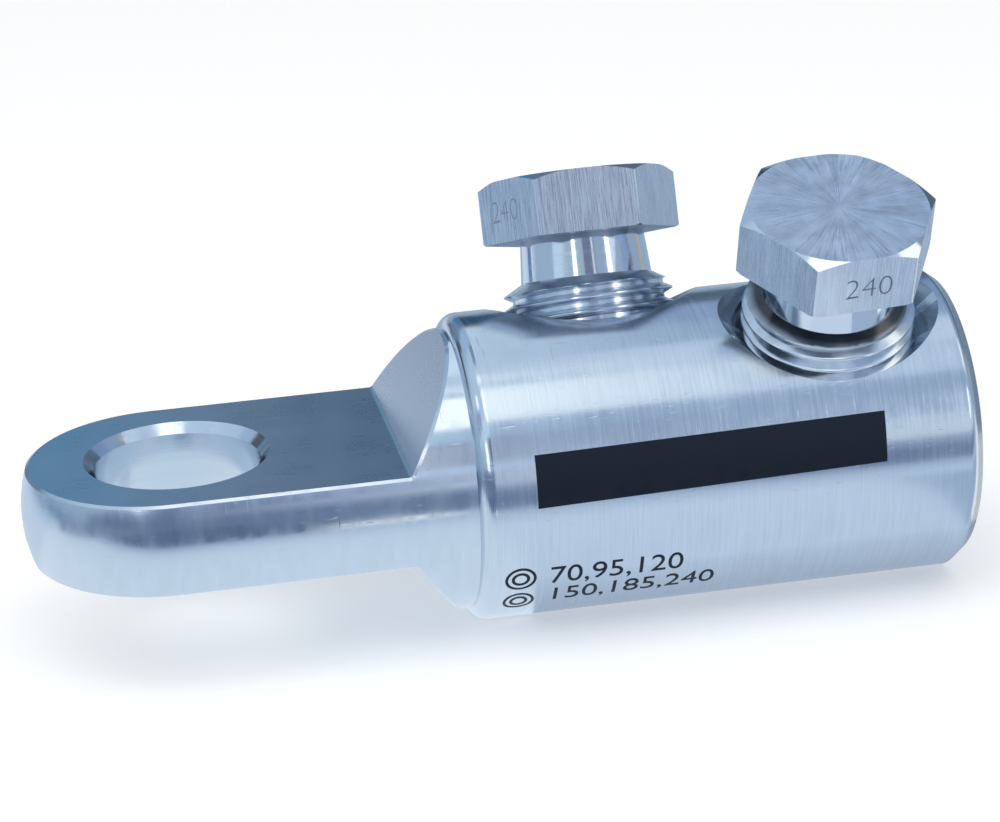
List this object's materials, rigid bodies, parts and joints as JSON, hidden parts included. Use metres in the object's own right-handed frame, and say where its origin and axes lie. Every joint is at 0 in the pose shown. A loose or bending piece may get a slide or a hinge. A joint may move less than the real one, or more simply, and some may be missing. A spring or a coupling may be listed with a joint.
{
  "type": "shear-bolt cable lug",
  "caption": "Machined cable lug with a flat palm and stud hole, a barrel for a stranded conductor, hex-headed shear bolts and a loose centring insert.",
  "frame": {"origin": "where the axis of the palm hole crosses the axis of the barrel, halfway through the palm", "axes": "+X along the barrel from the palm to the cable end, +Z along the palm hole towards the side of the bolts, +Y to the left seen from the palm"},
  "size_m": [0.0969, 0.0372, 0.0463],
  "materials": {
    "tinned_lug": "bright tin plate over fine turning marks",
    "tinned_insert": "satin tin plate",
    "tinned_bolt": "drawn flats, faced head and polished neck",
    "tinned_pad": "turned"
  },
  "bodies": {
    "lug": {"lug_body": "tinned_lug", "centring_insert": "tinned_insert"},
    "palm_end_pad": {"palm_end_pressure_pad": "tinned_pad"},
    "palm_end_bolt": {"palm_end_shear_bolt": "tinned_bolt"},
    "cable_end_pad": {"cable_end_pressure_pad": "tinned_pad"},
    "cable_end_bolt": {"cable_end_shear_bolt": "tinned_bolt"}
  },
  "joints": [
    {"name": "palm_end_bolt_feed", "type": "slide", "parent": "lug", "child": "palm_end_pad", "axis": [0, -0.3633, -0.9317], "range_m": [-0.0015, 0.006]},
    {"name": "palm_end_bolt_turn", "type": "hinge", "parent": "palm_end_pad", "child": "palm_end_bolt", "pos_m": [0.0446, 0, 0], "axis": [0, -0.3633, -0.9317], "range_deg": [-360, 1440]},
    {"name": "cable_end_bolt_feed", "type": "slide", "parent": "lug", "child": "cable_end_pad", "axis": [0, 0.3322, -0.9432], "range_m": [-0.0015, 0.006]},
    {"name": "cable_end_bolt_turn", "type": "hinge", "parent": "cable_end_pad", "child": "cable_end_bolt", "pos_m": [0.0673, 0, 0], "axis": [0, 0.3322, -0.9432], "range_deg": [-360, 1440]}
  ],
  "couplings": [
    {"joint": "palm_end_bolt_turn", "follows": "palm_end_bolt_feed", "rad_per_m": 4188.8},
    {"joint": "cable_end_bolt_turn", "follows": "cable_end_bolt_feed", "rad_per_m": 4188.8}
  ]
}
